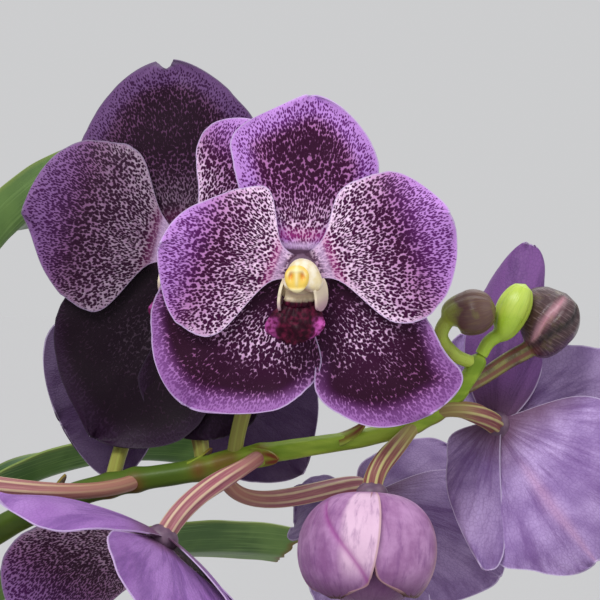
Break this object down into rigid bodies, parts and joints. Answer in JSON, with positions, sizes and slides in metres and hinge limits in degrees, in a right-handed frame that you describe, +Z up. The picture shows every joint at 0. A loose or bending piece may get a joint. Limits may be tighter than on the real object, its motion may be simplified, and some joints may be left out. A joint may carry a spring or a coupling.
{
  "type": "potted vanda orchid",
  "caption": "Orchid with strap leaves in two ranks, aerial roots and an arching spike of netted purple blooms and buds, growing in bark in a round clay pot.",
  "frame": {"origin": "centre of the pot's flat underside", "axes": "+Z up along the pot's axis and the stem; -Y towards the front of the blooms; +X towards the tip of the flower spike"},
  "size_m": [0.4395, 0.2507, 0.4441],
  "materials": {
    "clay": "matt fired clay",
    "bark": "rough",
    "root": "matt, silvery",
    "stem": "satin",
    "leaf": "leathery, satin",
    "spike": "satin",
    "pedicel": "satin",
    "tepal": "soft, satin, netted",
    "column": "waxy",
    "lip": "velvety",
    "half_open_tepal": "soft, satin",
    "bud_brown": "waxy",
    "bud_green": "waxy"
  },
  "bodies": {
    "root": {"pot": "clay", "bark_mix": "bark", "root_crown": "root", "stem": "stem", "leaf_right_1": "leaf", "leaf_right_2": "leaf", "leaf_right_3": "leaf", "leaf_right_4": "leaf", "leaf_right_5": "leaf", "leaf_right_6": "leaf", "leaf_left_1": "leaf", "leaf_left_2": "leaf", "leaf_left_3": "leaf", "leaf_left_4": "leaf", "leaf_left_5": "leaf", "leaf_left_6": "leaf", "flower_spike": "spike", "front_bloom_tepals": "tepal", "front_bloom_column": "column", "front_bloom_lip": "lip", "front_bloom_pedicel": "pedicel", "upper_left_bloom_tepals": "tepal", "upper_left_bloom_column": "column", "upper_left_bloom_lip": "lip", "upper_left_bloom_pedicel": "pedicel", "lower_left_bloom_tepals": "tepal", "lower_left_bloom_column": "column", "lower_left_bloom_lip": "lip", "lower_left_bloom_pedicel": "pedicel", "rear_left_bloom_tepals": "tepal", "rear_left_bloom_column": "column", "rear_left_bloom_lip": "lip", "rear_left_bloom_pedicel": "pedicel", "rear_middle_bloom_tepals": "tepal", "rear_middle_bloom_column": "column", "rear_middle_bloom_lip": "lip", "rear_middle_bloom_pedicel": "pedicel", "right_bloom_tepals": "tepal", "right_bloom_column": "column", "right_bloom_lip": "lip", "right_bloom_pedicel": "pedicel", "far_left_bloom_tepals": "tepal", "far_left_bloom_column": "column", "far_left_bloom_lip": "lip", "far_left_bloom_pedicel": "pedicel", "half_open_bloom_tepals": "half_open_tepal", "half_open_bloom_pedicel": "pedicel", "bud_1": "bud_brown", "bud_2": "bud_green", "bud_3": "bud_brown"}
  },
  "joints": []
}
